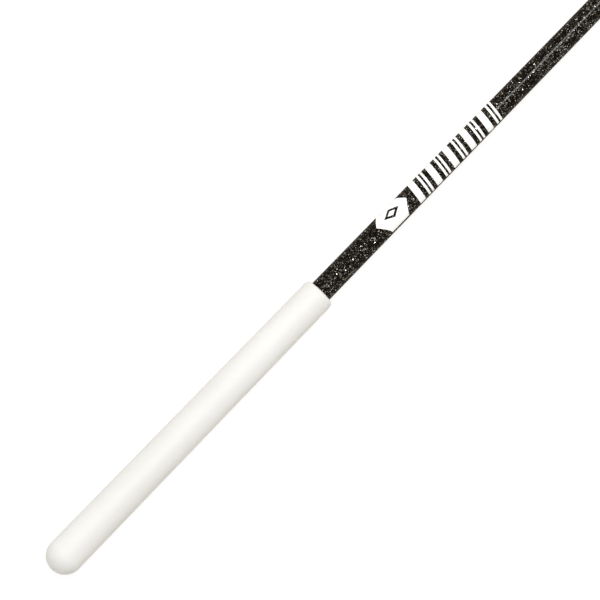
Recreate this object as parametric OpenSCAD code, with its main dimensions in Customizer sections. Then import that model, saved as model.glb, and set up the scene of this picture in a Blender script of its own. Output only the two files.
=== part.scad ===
// Ribbon stick: a tapered rod with a soft grip, and a swivel and snap at its tip that hold the ribbon.
// Millimetres. It lies along X with its butt at -X. The origin is on its axis, at the middle of the grip.
// Lengths that start with a letter a, such as a_rod_end, are counted along the axis from the butt.

/* [Stick] */
// Length over everything, from the butt of the grip to the end of the snap
overall_length = 595; // [500:1:720]
// Diameter of the lacquered rod at its thick end, inside the grip
rod_butt_d = 6.75; // [5.6:0.05:8.1]
// Diameter of the lacquered rod at its tip
rod_tip_d = 3.7; // [3.0:0.05:4.5]
// Thickness of the glitter lacquer on the rod
lacquer_t = 0.12; // [0.08:0.01:0.2]
// Bevel on the rod's two ends
rod_bevel = 0.3; // [0.1:0.05:0.6]

/* [Grip] */
// Length of the grip, with its closed end
grip_length = 100; // [80:1:125]
// Diameter of the grip where its closed end begins to round off
grip_butt_d = 9.85; // [9.5:0.05:12]
// Diameter of the grip at its mouth
grip_mouth_d = 9.0; // [8.8:0.05:11]
// Rubber between the rod's end and the outside of the closed end
grip_end_wall = 2.5; // [1.5:0.1:5]
// Radius of the rounded lip at the mouth
grip_lip_r = 1.2; // [0.3:0.05:1.2]
// Least flat that the lip leaves round the rod
lip_land = 0.1; // [0.05:0.05:0.3]

/* [Printed mark] */
// From the grip's mouth to the near point of the panel
mark_start = 21.7; // [10:0.1:40]
// Length of the panel, from point to point
panel_length = 11.1; // [8:0.1:16]
// Length of each of the panel's pointed ends
panel_point = 2.4; // [1:0.1:3.5]
// Height of the panel, as a share of the rod's width
panel_share = 0.98; // [0.9:0.01:0.98]
// Length of the lozenge that is left open in the panel
opening_length = 5.4; // [3:0.1:7]
// Height of that lozenge
opening_height = 2.8; // [1.6:0.1:3.6]
// Size of the solid lozenge in the opening, as a share of it
seed_share = 0.5; // [0.3:0.05:0.7]
// Gap between the panel and the first bar
mark_gap = 2.3; // [0.2:0.1:3]
// Number of bars in the row
bar_count = 10; // [4:1:14]
// Distance from one bar to the next
bar_pitch = 3.2; // [2.6:0.05:5]
// Width of a single bar
bar_width = 1.9; // [1.2:0.1:2.4]
// Gap down the middle of every second bar
bar_slit = 0.6; // [0.3:0.05:1]
// How far the bars lean from square across the rod, in degrees
bar_lean = 9; // [0:0.5:20]
// How far round the rod the print reaches, in degrees
mark_wrap = 168; // [90:1:172]
// Turn of the print's middle from straight up, towards +Y, in degrees
mark_turn = 14; // [0:1:45]
// Thickness of the ink
ink_t = 0.04; // [0.02:0.01:0.08]

/* [Tip] */
// Length of rod inside the ferrule
ferrule_grip = 11; // [8:0.5:14]
// Wall of the ferrule
ferrule_wall = 0.5; // [0.35:0.05:0.8]
// Thickness of the ferrule's closed nose
ferrule_nose = 1.0; // [0.8:0.1:1.8]
// Radius of the rolled bead at the ferrule's mouth
ferrule_bead_r = 0.3; // [0.2:0.05:0.4]
// Largest radius of the rounded edge of the nose
nose_edge_r = 0.7; // [0.3:0.05:0.9]
// From the ferrule's mouth to the first crimp ring
crimp_place = 3; // [1.5:0.1:6]
// Distance between the two crimp rings
crimp_pitch = 1.6; // [1.2:0.1:3]
// Radius of a crimp ring's hollow
crimp_r = 0.5; // [0.3:0.05:0.7]
// Depth of each crimp ring
crimp_depth = 0.15; // [0.08:0.01:0.2]
// Wire of the eye pin that is set in the rod's tip
pin_wire_d = 1.1; // [0.9:0.05:1.3]
// Depth of the eye pin's shank in the rod
pin_depth = 9; // [6:0.5:12]
// Radius of the eye pin's ring, to the middle of its wire
pin_ring_r = 1.9; // [1.75:0.05:2.3]

/* [Swivel] */
// Wire of the two swivel eyes
eye_wire_d = 1.0; // [0.8:0.05:1.2]
// Radius of a swivel eye's ring, to the middle of its wire
eye_ring_r = 1.9; // [1.75:0.05:2.3]
// Neck between a ring's wire and what it enters
neck_length = 0.9; // [0.8:0.05:1.4]
// Outer diameter of the barrel
barrel_d = 4.6; // [4.4:0.1:5.6]
// Length of the barrel
barrel_length = 8; // [6.6:0.1:10]
// Wall of the barrel
barrel_wall = 0.75; // [0.6:0.05:0.85]
// Length of each tapered end of the barrel
shoulder_length = 1.6; // [1.2:0.1:2]
// How much the barrel's radius drops over its tapered end
shoulder_drop = 0.6; // [0.4:0.05:0.7]
// Bevel on the barrel's mouth and where its taper ends
shoulder_bevel = 0.2; // [0.1:0.05:0.3]
// From the taper to the middle of a rolled groove
groove_place = 0.7; // [0.6:0.1:1.5]
// Radius of a rolled groove's hollow
groove_r = 0.5; // [0.3:0.05:0.7]
// Depth of a rolled groove
groove_depth = 0.2; // [0.1:0.05:0.3]
// Diameter of the button inside the barrel that holds each eye in
button_d = 2.4; // [2.0:0.1:2.6]
// Thickness of that button
button_t = 0.9; // [0.6:0.05:1.1]

/* [Snap] */
// Wire of the snap
snap_wire_d = 0.9; // [0.75:0.05:1.0]
// Radius of the bend that holds the swivel, to the middle of the wire
snap_bend_r = 1.5; // [1.45:0.05:1.8]
// Radius of the wide bow that holds the ribbon, to the middle of the wire
snap_bow_r = 3.2; // [3.0:0.05:4.0]
// From the middle of the small bend to the middle of the bow
snap_reach = 14; // [13:0.1:17]
// Sheet of the clasp
clasp_sheet = 0.3; // [0.2:0.05:0.4]
// Length of the clasp
clasp_length = 6; // [5.4:0.1:6.5]
// Room inside the small bend, before the clasp
clasp_setback = 1.15; // [1.0:0.05:1.5]
// Gap between the folded sheet's edges, under the clasp
clasp_seam = 0.2; // [0.1:0.05:0.4]
// Length of the short leg inside the clasp
short_leg = 1.9; // [1.2:0.1:2.2]
// From the clasp's start to the middle of the hook
hook_place = 3.6; // [3.2:0.1:4]
// Radius of the hook's bend, to the middle of the wire
hook_bend_r = 1.0; // [0.8:0.05:1.2]
// Straight end of the hook
hook_reach = 0.9; // [0.5:0.05:1]
// Extra length of the window that the hook drops into
window_slack = 0.75; // [0.5:0.05:0.9]
// How far the window reaches in past the middle of the short leg
window_depth = 0.1; // [0.05:0.05:0.2]
// Straight wire between the clasp and the bend out to the bow
step_lead = 0.4; // [0.2:0.05:0.6]

/* [Clearances] */
// Gap between pieces that are fixed in or on each other
seat_gap = 0.03; // [0.01:0.01:0.05]
// Radial clearance of a neck that turns in the barrel
turn_gap = 0.05; // [0.02:0.01:0.09]
// Slack between two linked wires
link_gap = 0.1; // [0.05:0.01:0.2]
// Gap round a piece that moves past another
move_gap = 0.25; // [0.15:0.05:0.35]
// Gap between the long leg's end and the arm's round end
split_gap = 0.05; // [0.03:0.01:0.1]

/* [Hidden] */
$fn = 96;

// from the rod's tip out to the snap's end, in order
pull_pin = ferrule_nose + neck_length + 2 * pin_ring_r;
rear_eye = pull_pin - (pin_wire_d + eye_wire_d) / 2 - link_gap + eye_ring_r;
barrel_start = rear_eye + eye_ring_r + neck_length;
front_eye = barrel_start + barrel_length + neck_length + eye_ring_r;
pull_front = front_eye + eye_ring_r;
snap_bend = pull_front - (eye_wire_d + snap_wire_d) / 2 - link_gap + snap_bend_r;
tail_length = snap_bend + snap_reach + snap_bow_r + snap_wire_d / 2;

a_rod_start = grip_end_wall;
a_rod_end = overall_length - tail_length;
a_pull_pin = a_rod_end + pull_pin;

// a cut runs this far past the piece that it cuts
over = 1;

// radius over the lacquer at a distance from the butt
rod_slope = (rod_tip_d - rod_butt_d) / 2 / (a_rod_end - a_rod_start);
function rod_r(a) = rod_butt_d / 2 + rod_slope * (a - a_rod_start);

grip_r = grip_butt_d / 2;
lip_r = min(grip_lip_r, grip_mouth_d / 2 - rod_r(grip_length) - seat_gap - lip_land);

ferrule_bore_r = rod_r(a_rod_end - ferrule_grip) + seat_gap;
ferrule_r = ferrule_bore_r + ferrule_wall;

// the clasp is a flat tube, folded round the snap's two legs
clasp_bore_r = snap_wire_d / 2 + seat_gap;
clasp_r = clasp_bore_r + clasp_sheet;
clasp_start = snap_wire_d / 2 + clasp_setback;
clasp_end = clasp_start + clasp_length;
hook_at = clasp_start + hook_place;

// the long leg steps out to the bow by two equal bends
step_r = (snap_bow_r - snap_bend_r) / 2;
step_start = clasp_end + step_lead;
step_end = step_start + 2 * step_r;

// the arm's round end sits at the top of the bow, and the long leg ends
// this many whole degrees before it, so that the two stay just clear
arm_split = ceil(asin((snap_wire_d / 2 + split_gap) / snap_bow_r));

// ---- helpers ----

// Turns a half outline, drawn as (radius, distance from the butt), round the stick's axis
module turned() {
    translate([-grip_length / 2, 0, 0])
        rotate([0, 90, 0])
            rotate_extrude()
                children();
}

// Moves what is drawn about the origin to a distance from the butt
module at(a) {
    translate([a - grip_length / 2, 0, 0])
        children();
}

// Half outline of the rod between two distances, larger all round by grow
module rod_outline(from, to, grow = 0, bevel = 0) {
    polygon([
        [0, from],
        [rod_r(from) + grow - bevel, from],
        [rod_r(from) + grow, from + bevel],
        [rod_r(to) + grow, to - bevel],
        [rod_r(to) + grow - bevel, to],
        [0, to],
    ]);
}

// Straight wire along X
module wire(length, d) {
    rotate([0, 90, 0])
        cylinder(h = length, d = d);
}

// Wire bent round a centre in the XY plane, from one angle through another
module bent_wire(r, from, through, d) {
    rotate([0, 0, from])
        rotate_extrude(angle = through)
            translate([r, 0])
                circle(d = d);
}

// Closed ring of wire round the origin, in the XY plane
module ring(r, d) {
    rotate_extrude()
        translate([r, 0])
            circle(d = d);
}

// Swivel eye: a ring at the origin, a neck along +X and the button that the barrel holds
module swivel_eye() {
    button_start = eye_ring_r + neck_length + barrel_wall + link_gap;
    ring(eye_ring_r, eye_wire_d);
    translate([eye_ring_r, 0, 0])
        wire(button_start + button_t / 2 - eye_ring_r, eye_wire_d);
    translate([button_start, 0, 0])
        rotate([0, 90, 0])
            cylinder(h = button_t, d = button_d);
}

// Flat tube along X with round sides, whose side centres are half apart
module flat_tube(length, half, r) {
    for (side = [-1, 1])
        translate([0, side * half, 0])
            rotate([0, 90, 0])
                cylinder(h = length, r = r);
    translate([0, -half, -r])
        cube([length, 2 * half, 2 * r]);
}

// ---- stick ----

module rod_core() {
    color([0.10, 0.10, 0.09])
        turned()
            difference() {
                rod_outline(a_rod_start, a_rod_end, -lacquer_t, rod_bevel);
                // socket for the eye pin
                translate([0, a_rod_end - pin_depth - seat_gap])
                    square([pin_wire_d / 2 + seat_gap, pin_depth + over]);
            }
}

module glitter_lacquer() {
    color([0.17, 0.16, 0.15])
        turned()
            difference() {
                rod_outline(a_rod_start + rod_bevel, a_rod_end - rod_bevel);
                rod_outline(a_rod_start, a_rod_end, seat_gap - lacquer_t);
            }
}

// Flat artwork: X runs along the rod from the near end of the print, Y across it
module artwork() {
    half = rod_r(grip_length + mark_start) + over;
    translate([panel_length / 2, 0]) {
        difference() {
            panel();
            lozenge(1);
        }
        lozenge(seed_share);
    }
    // leaning bars, every second one slit down the middle
    for (i = [0 : bar_count - 1]) {
        translate([panel_length + mark_gap + bar_width / 2 + i * bar_pitch, 0])
            if (i % 2 == 0) {
                leaning_bar(0, bar_width, half);
            } else {
                leaning_bar(-(bar_width + bar_slit) / 4, (bar_width - bar_slit) / 2, half);
                leaning_bar((bar_width + bar_slit) / 4, (bar_width - bar_slit) / 2, half);
            }
    }
}

// A band across the rod, pointed at both ends
module panel() {
    mid = panel_length / 2;
    shoulder = mid - panel_point;
    tall = rod_r(grip_length + mark_start + mid) * panel_share;
    polygon([
        [-mid, 0],
        [-shoulder, tall],
        [shoulder, tall],
        [mid, 0],
        [shoulder, -tall],
        [-shoulder, -tall],
    ]);
}

// The opening's lozenge, at a share of its size
module lozenge(share) {
    x = opening_length / 2 * share;
    y = opening_height / 2 * share;
    polygon([[-x, 0], [0, y], [x, 0], [0, -y]]);
}

// One bar whose upper end, at +Y, leans towards the tip
module leaning_bar(shift, width, half) {
    lean = half * tan(bar_lean);
    polygon([
        [shift - width / 2 - lean, -half],
        [shift + width / 2 - lean, -half],
        [shift + width / 2 + lean, half],
        [shift - width / 2 + lean, half],
    ]);
}

module printed_mark() {
    start = grip_length + mark_start - over;
    lean = (rod_butt_d / 2 + over) * tan(bar_lean);
    stop = start + panel_length + mark_gap + bar_count * bar_pitch + lean + 2 * over;
    color([0.93, 0.93, 0.92])
        rotate([-mark_turn, 0, 0])
            intersection() {
                // a thin skin on the rod, round the part of it that faces up
                translate([-grip_length / 2, 0, 0])
                    rotate([0, 90, 0])
                        rotate([0, 0, 180 - mark_wrap / 2])
                            rotate_extrude(angle = mark_wrap)
                                polygon([
                                    [rod_r(start), start],
                                    [rod_r(start) + ink_t, start],
                                    [rod_r(stop) + ink_t, stop],
                                    [rod_r(stop), stop],
                                ]);
                at(grip_length + mark_start)
                    linear_extrude(rod_butt_d)
                        artwork();
            }
}

module grip_sleeve() {
    color([0.94, 0.94, 0.93])
        turned()
            difference() {
                union() {
                    // closed end
                    intersection() {
                        translate([0, grip_r])
                            circle(grip_r);
                        square([grip_r, grip_r]);
                    }
                    // tapered wall
                    polygon([
                        [0, grip_r],
                        [grip_r, grip_r],
                        [grip_mouth_d / 2, grip_length - lip_r],
                        [0, grip_length - lip_r],
                    ]);
                    // rounded lip
                    translate([grip_mouth_d / 2 - lip_r, grip_length - lip_r])
                        circle(lip_r);
                    translate([0, grip_length - 2 * lip_r])
                        square([grip_mouth_d / 2 - lip_r, 2 * lip_r]);
                }
                rod_outline(a_rod_start - seat_gap, grip_length + over, seat_gap);
            }
}

// ---- tip ----

module tip_ferrule() {
    mouth = a_rod_end - ferrule_grip;
    nose = a_rod_end + ferrule_nose;
    round_r = min(nose_edge_r, ferrule_nose);
    color([0.80, 0.80, 0.78])
        turned()
            difference() {
                union() {
                    translate([0, mouth + ferrule_bead_r])
                        square([ferrule_r, nose - round_r - mouth - ferrule_bead_r]);
                    // rolled bead at the mouth
                    translate([ferrule_r - ferrule_bead_r / 2, mouth + ferrule_bead_r])
                        circle(ferrule_bead_r);
                    // rounded nose
                    translate([ferrule_r - round_r, nose - round_r])
                        circle(round_r);
                    translate([0, nose - 2 * round_r])
                        square([ferrule_r - round_r, 2 * round_r]);
                }
                // bore for the rod
                translate([0, mouth - over])
                    square([ferrule_bore_r, ferrule_grip + over + seat_gap]);
                // hole for the eye pin
                square([pin_wire_d / 2 + seat_gap, nose + over]);
                // crimp rings
                for (ring_at = [crimp_place, crimp_place + crimp_pitch])
                    translate([ferrule_r + crimp_r - crimp_depth, mouth + ring_at])
                        circle(crimp_r);
            }
}

module tip_eye_pin() {
    color([0.80, 0.80, 0.78]) {
        at(a_pull_pin - pin_ring_r)
            rotate([90, 0, 0])
                ring(pin_ring_r, pin_wire_d);
        at(a_rod_end - pin_depth)
            wire(pin_depth + ferrule_nose + neck_length, pin_wire_d);
    }
}

// ---- swivel ----

module swivel_rear_eye() {
    color([0.80, 0.80, 0.78])
        at(a_rod_end + rear_eye)
            swivel_eye();
}

module swivel_barrel() {
    r = barrel_d / 2;
    far_shoulder = barrel_length - shoulder_length;
    color([0.80, 0.80, 0.78])
        translate([a_rod_end + barrel_start - grip_length / 2, 0, 0])
            rotate([0, 90, 0])
                rotate_extrude()
                    difference() {
                        // tapered ends and a straight middle
                        polygon([
                            [0, 0],
                            [r - shoulder_drop - shoulder_bevel, 0],
                            [r - shoulder_drop, shoulder_bevel],
                            [r - shoulder_bevel / 2, shoulder_length - shoulder_bevel],
                            [r, shoulder_length],
                            [r, far_shoulder],
                            [r - shoulder_bevel / 2, far_shoulder + shoulder_bevel],
                            [r - shoulder_drop, barrel_length - shoulder_bevel],
                            [r - shoulder_drop - shoulder_bevel, barrel_length],
                            [0, barrel_length],
                        ]);
                        // room for the two buttons
                        translate([0, barrel_wall])
                            square([button_d / 2 + link_gap, barrel_length - 2 * barrel_wall]);
                        // necks
                        translate([0, -over])
                            square([eye_wire_d / 2 + turn_gap, barrel_length + 2 * over]);
                        // two rolled grooves
                        for (groove_at = [shoulder_length + groove_place, far_shoulder - groove_place])
                            translate([r + groove_r - groove_depth, groove_at])
                                circle(groove_r);
                    }
}

module swivel_front_eye() {
    color([0.80, 0.80, 0.78])
        at(a_rod_end + front_eye)
            rotate([90, 0, 180])
                swivel_eye();
}

// ---- snap, drawn from the middle of its small bend, in the XY plane ----

module snap_clasp() {
    color([0.78, 0.78, 0.76])
        at(a_rod_end + snap_bend)
            difference() {
                translate([clasp_start, 0, 0])
                    flat_tube(clasp_length, snap_bend_r, clasp_r);
                translate([clasp_start - over, 0, 0])
                    flat_tube(clasp_length + 2 * over, snap_bend_r, clasp_bore_r);
                // the folded sheet's edges meet under the clasp
                translate([clasp_start - over, -clasp_seam / 2, -2 * clasp_r])
                    cube([clasp_length + 2 * over, clasp_seam, 2 * clasp_r]);
                // window that the arm's hook drops into
                translate([
                    hook_at - snap_wire_d / 2 - move_gap,
                    -snap_bend_r - 2 * clasp_r,
                    -snap_wire_d / 2 - move_gap / 2,
                ])
                    cube([
                        snap_wire_d + 2 * move_gap + window_slack,
                        2 * clasp_r + window_depth,
                        snap_wire_d + move_gap,
                    ]);
            }
}

module snap_wire() {
    color([0.80, 0.80, 0.78])
        at(a_rod_end + snap_bend) {
            bent_wire(snap_bend_r, 90, 180, snap_wire_d);
            // short leg, held in the clasp
            translate([0, -snap_bend_r, 0])
                wire(clasp_start + short_leg, snap_wire_d);
            // long leg, through the clasp
            translate([0, snap_bend_r, 0])
                wire(step_start, snap_wire_d);
            translate([step_start, snap_bend_r + step_r, 0])
                bent_wire(step_r, -90, 90, snap_wire_d);
            translate([step_end, snap_bow_r - step_r, 0])
                bent_wire(step_r, 90, 90, snap_wire_d);
            translate([step_end, snap_bow_r, 0])
                wire(snap_reach - step_end, snap_wire_d);
            // nearly half of the bow
            translate([snap_reach, 0, 0])
                rotate([180, 0, 0])
                    bent_wire(snap_bow_r, -90, 90 - arm_split, snap_wire_d);
        }
}

module snap_arm() {
    color([0.80, 0.80, 0.78])
        at(a_rod_end + snap_bend) {
            translate([snap_reach, 0, 0]) {
                translate([snap_bow_r, 0, 0])
                    sphere(d = snap_wire_d);
                bent_wire(snap_bow_r, -90, 90, snap_wire_d);
            }
            translate([hook_at + hook_bend_r, -snap_bow_r, 0])
                wire(snap_reach - hook_at - hook_bend_r, snap_wire_d);
            // hook, turned in through the clasp's window
            translate([hook_at + hook_bend_r, hook_bend_r - snap_bow_r, 0])
                bent_wire(hook_bend_r, 180, 90, snap_wire_d);
            translate([hook_at, hook_bend_r - snap_bow_r, 0])
                rotate([-90, 0, 0])
                    cylinder(h = hook_reach, d = snap_wire_d);
        }
}

rod_core();
glitter_lacquer();
printed_mark();
grip_sleeve();
tip_ferrule();
tip_eye_pin();
swivel_rear_eye();
swivel_barrel();
swivel_front_eye();
snap_clasp();
snap_wire();
snap_arm();
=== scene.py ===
# %% [markdown]
# # A gymnastics ribbon stick, piece by piece
# The object is a thin rod, ground to a taper and coated with a lacquer full of glitter. One end
# carries a soft white grip, and a white band is printed beside it. The other end carries a metal
# ferrule, a small swivel and a spring-wire snap, which hold the ribbon and let it twist freely.
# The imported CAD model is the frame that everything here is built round: it says where each piece
# is and how it moves. This script gives each piece the surface and the finish of the real one.

import math

import bmesh
import bpy
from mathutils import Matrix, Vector


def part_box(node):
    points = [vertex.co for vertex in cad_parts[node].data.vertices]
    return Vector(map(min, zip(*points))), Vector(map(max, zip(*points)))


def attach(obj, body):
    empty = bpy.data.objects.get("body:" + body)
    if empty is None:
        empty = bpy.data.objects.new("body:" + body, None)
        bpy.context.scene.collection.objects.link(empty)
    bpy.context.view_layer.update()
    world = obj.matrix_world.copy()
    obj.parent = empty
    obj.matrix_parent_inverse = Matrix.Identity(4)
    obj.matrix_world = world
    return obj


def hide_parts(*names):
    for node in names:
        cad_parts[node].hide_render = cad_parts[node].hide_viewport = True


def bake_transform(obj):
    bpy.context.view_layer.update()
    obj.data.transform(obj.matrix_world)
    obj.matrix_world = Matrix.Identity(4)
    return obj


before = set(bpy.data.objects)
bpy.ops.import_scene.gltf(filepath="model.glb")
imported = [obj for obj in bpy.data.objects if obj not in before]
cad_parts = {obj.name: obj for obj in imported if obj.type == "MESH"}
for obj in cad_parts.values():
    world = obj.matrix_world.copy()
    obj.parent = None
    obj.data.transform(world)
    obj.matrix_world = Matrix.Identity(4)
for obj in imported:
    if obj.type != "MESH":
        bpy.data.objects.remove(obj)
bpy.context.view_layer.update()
scene = bpy.context.scene
MM = 0.001
print("nodes:", sorted(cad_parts))

# %% [markdown]
# ## Measuring the CAD pieces
# A visual piece must sit exactly where its CAD solid sits. Typing every place in again would work
# until the CAD changed, so the places are measured instead: the box of a node gives its ends, and
# its vertices give its radius at any place along the stick, which lies along X.

# %% Helpers that measure a node
def ends(node):
    """Where a node starts and stops along the stick."""
    low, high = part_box(node)
    return low.x, high.x


def radius_near(node, x, reach=0.6 * MM):
    """The largest radius that a node has within reach of x."""
    close = [v.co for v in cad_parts[node].data.vertices if abs(v.co.x - x) < reach]
    return max(math.hypot(p.y, p.z) for p in close)


shaft_start, shaft_end = ends("glitter_lacquer")
shaft_butt_r = radius_near("glitter_lacquer", shaft_start)
shaft_tip_r = radius_near("glitter_lacquer", shaft_end)
shaft_slope = (shaft_tip_r - shaft_butt_r) / (shaft_end - shaft_start)
grip_start, grip_end = ends("grip_sleeve")
print(f"shaft {shaft_start / MM:.2f} to {shaft_end / MM:.2f} mm,", end=" ")
print(f"radius {shaft_butt_r / MM:.3f} to {shaft_tip_r / MM:.3f} mm")


def shaft_r(x):
    """Radius over the lacquer at a place along the stick."""
    return shaft_butt_r + shaft_slope * (x - shaft_start)


# %% [markdown]
# ## How a finish is written
# Each finish is a node material on the Principled shader. What is the same all over a surface is
# set on the shader's own socket, and only what varies comes from nodes. The nodes read Object
# coordinates, which stay on the piece when it moves, so no image is needed and nothing slides.

# %% Helpers for materials
def finish(name, **constants):
    """A new material and its Principled shader, with the values that are the same everywhere."""
    material = bpy.data.materials.new(name)
    material.use_nodes = True
    shader = material.node_tree.nodes["Principled BSDF"]
    for socket, value in constants.items():
        shader.inputs[socket.replace("_", " ")].default_value = value
    return material, shader


def node(material, kind, inputs=(), **settings):
    """A node in a material. Inputs are (socket, value or output) pairs."""
    made = material.node_tree.nodes.new(kind)
    for key, value in settings.items():
        setattr(made, key, value)
    for socket, value in inputs:
        if isinstance(value, bpy.types.NodeSocket):
            material.node_tree.links.new(value, made.inputs[socket])
        else:
            made.inputs[socket].default_value = value
    return made


def link(material, output, socket):
    """Joins an output to a socket."""
    material.node_tree.links.new(output, socket)


def object_place(material, scale=(1, 1, 1)):
    """Object coordinates, scaled along each axis."""
    place = node(material, "ShaderNodeTexCoord").outputs["Object"]
    mapped = node(material, "ShaderNodeMapping", [("Vector", place), ("Scale", scale)])
    return mapped.outputs["Vector"]


def ramp(material, value, stops, interpolation="LINEAR"):
    """A colour ramp. Stops are (place, grey) or (place, (r, g, b)) pairs."""
    made = node(material, "ShaderNodeValToRGB", [("Fac", value)])
    made.color_ramp.interpolation = interpolation
    elements = made.color_ramp.elements
    while len(elements) < len(stops):
        elements.new(0.5)
    for element, (place, tone) in zip(elements, stops):
        element.position = place
        rgb = tone if isinstance(tone, tuple) else (tone, tone, tone)
        element.color = (*rgb, 1)
    return made.outputs["Color"]


def bump(material, height, distance, strength=1.0, normal=None):
    """A bump from a height, whose full depth is distance in metres."""
    inputs = [("Height", height), ("Distance", distance), ("Strength", strength)]
    if normal is not None:
        inputs.append(("Normal", normal))
    return node(material, "ShaderNodeBump", inputs).outputs["Normal"]


def math_node(material, operation, a, b=0.0):
    """One step of arithmetic on numbers."""
    made = node(material, "ShaderNodeMath", [(0, a), (1, b)], operation=operation)
    return made.outputs["Value"]


def mix_colour(material, factor, a, b):
    """Colour a where the factor is 0, and colour b where it is 1."""
    inputs = [("Factor", factor), (6, a), (7, b)]
    return node(material, "ShaderNodeMix", inputs, data_type="RGBA").outputs[2]


def noise(material, scale, detail, stretch=(1, 1, 1)):
    """Soft random patches on the piece, finer with a larger scale."""
    inputs = [("Vector", object_place(material, stretch)), ("Scale", scale), ("Detail", detail)]
    return node(material, "ShaderNodeTexNoise", inputs).outputs["Fac"]


def random_cells(material, scale):
    """Cells with hard borders, and the parts of the random colour that each one has."""
    inputs = [("Vector", object_place(material)), ("Scale", scale)]
    made = node(material, "ShaderNodeTexVoronoi", inputs).outputs
    return made, node(material, "ShaderNodeSeparateColor", [("Color", made["Color"])]).outputs


print("material helpers ready")

# %% [markdown]
# ### Glitter lacquer
# On the real rod a clear lacquer holds thousands of thin foil flakes over black glass fibre. Each
# flake lies at its own slight angle, so it catches the light or not by itself. A noise texture
# would look like dust. A Voronoi texture makes cells with hard borders and one random value each,
# which
# is what flakes are: the random value decides whether a cell is a flake, how far its normal leans,
# and how bright its colour is, from near black to pale silver: a painted glint standing in for the
# light each flake catches at its angle. The shader's coat is the clear lacquer that shines over
# them.

# %% The glitter lacquer's material
LARGE_FLAKE, LARGE_SHARE = 0.62 * MM, 0.5
SMALL_FLAKE, SMALL_SHARE = 0.3 * MM, 0.6
FLAKE_CORE = 0.46
FLAKE_METAL = 0.8
FLAKE_LEAN = 0.7
LACQUER_BLACK = (0.0024, 0.0014, 0.0006, 1)
# The brightness of each flake's colour, from near black to pale silver, is a painted glint for the
# light a flake catches at its own angle.
LARGE_GLINT_TONES = [
    (0.0, (0.004, 0.0028, 0.0016)),
    (0.55, (0.014, 0.0112, 0.0074)),
    (1.0, (0.17, 0.163, 0.145)),
]
SMALL_GLINT_TONES = [
    (0.0, (0.003, 0.0021, 0.0011)),
    (0.5, (0.012, 0.0093, 0.0056)),
    (1.0, (0.15, 0.144, 0.128)),
]


def tipped(material, lean, amount):
    """The surface's normal, tipped by a random vector of its own for each flake."""
    push = node(material, "ShaderNodeVectorMath", [(0, lean), ("Scale", amount)], operation="SCALE")
    upright = node(material, "ShaderNodeNewGeometry").outputs["Normal"]
    pushed = node(
        material, "ShaderNodeVectorMath", [(0, upright), (1, push.outputs[0])], operation="ADD"
    )
    unit = node(material, "ShaderNodeVectorMath", [(0, pushed.outputs[0])], operation="NORMALIZE")
    return unit.outputs[0]


def flake_layer(material, flake_size, share, glint_tones):
    """Cells of one size: the mask of those that are flakes, their colour, painted bright or dark as
    a glint, and their lean.
    """
    cells, chance = random_cells(material, 1 / flake_size)
    is_flake = math_node(material, "LESS_THAN", chance["Red"], share)
    is_core = math_node(material, "LESS_THAN", cells["Distance"], FLAKE_CORE)
    mask = math_node(material, "MULTIPLY", is_flake, is_core)
    tone = ramp(material, chance["Green"], glint_tones)
    centred = [(0, cells["Color"]), (1, (0.5, 0.5, 0.5))]
    lean = node(material, "ShaderNodeVectorMath", centred, operation="SUBTRACT")
    return mask, tone, lean.outputs["Vector"]


def glitter_finish():
    """Black lacquer with two sizes of flakes under a clear coat."""
    material, shader = finish(
        "glitter_lacquer",
        Coat_Weight=0.16,
        Coat_Roughness=0.06,
        Coat_IOR=1.55,
        Specular_IOR_Level=0.0,
        Specular_Tint=(0.45, 0.34, 0.24, 1),
        Roughness=0.34,
    )
    large, large_glint, large_lean = flake_layer(material, LARGE_FLAKE, LARGE_SHARE, LARGE_GLINT_TONES)
    small, small_glint, small_lean = flake_layer(material, SMALL_FLAKE, SMALL_SHARE, SMALL_GLINT_TONES)
    under = mix_colour(material, small, LACQUER_BLACK, small_glint)
    over = mix_colour(material, large, under, large_glint)
    link(material, over, shader.inputs["Base Color"])
    any_flake = math_node(material, "MAXIMUM", large, small)
    metal = math_node(material, "MULTIPLY", any_flake, FLAKE_METAL)
    link(material, metal, shader.inputs["Metallic"])
    leans = [("Factor", large), (4, small_lean), (5, large_lean)]
    lean = node(material, "ShaderNodeMix", leans, data_type="VECTOR").outputs[1]
    amount = math_node(material, "MULTIPLY", any_flake, FLAKE_LEAN)
    link(material, tipped(material, lean, amount), shader.inputs["Normal"])
    return material


glitter = glitter_finish()
print(glitter.name, "has", len(glitter.node_tree.nodes), "nodes")

# %% [markdown]
# ### Foil of the larger flakes
# The largest flakes are modelled, so that they catch the light from every side. Each one carries a
# random number of its own, put on it when it is scattered. The foil's colour is read from that
# number. Its brightness, from near black through dull silver to bright white, is a painted glint
# for the light each flake catches; the few warm gold and fewer red flakes are the foil's own
# colours.

# %% The foil's material
FOIL_LEAN = 0.4
# Foil colours by random number: the spread from near black to white is a painted glint; gold and
# red are the foil's own colours.
FOIL_TINTS_AND_GLINTS = [
    (0.0, (0.003, 0.0022, 0.0013)),
    (0.4, (0.014, 0.011, 0.0075)),
    (0.65, (0.13, 0.121, 0.1)),
    (0.84, (0.62, 0.595, 0.53)),
    (0.955, (0.95, 0.94, 0.9)),
    (0.975, (0.6, 0.48, 0.28)),
    (0.99, (0.36, 0.12, 0.08)),
    (1.0, (0.5, 0.47, 0.4)),
]


def foil_finish():
    """Foil whose colour, painted bright or dark as a glint, and lean come from each flake's own
    random numbers.
    """
    material, shader = finish(
        "flake_foil",
        Metallic=0.85,
        Roughness=0.26,
        Coat_Weight=0.16,
        Coat_Roughness=0.05,
        Coat_IOR=1.55,
    )
    tone = node(material, "ShaderNodeAttribute", attribute_name="flake_tone").outputs["Fac"]
    link(material, ramp(material, tone, FOIL_TINTS_AND_GLINTS), shader.inputs["Base Color"])
    lean = node(material, "ShaderNodeAttribute", attribute_name="flake_lean").outputs["Vector"]
    link(material, tipped(material, lean, FOIL_LEAN), shader.inputs["Normal"])
    return material


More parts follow.
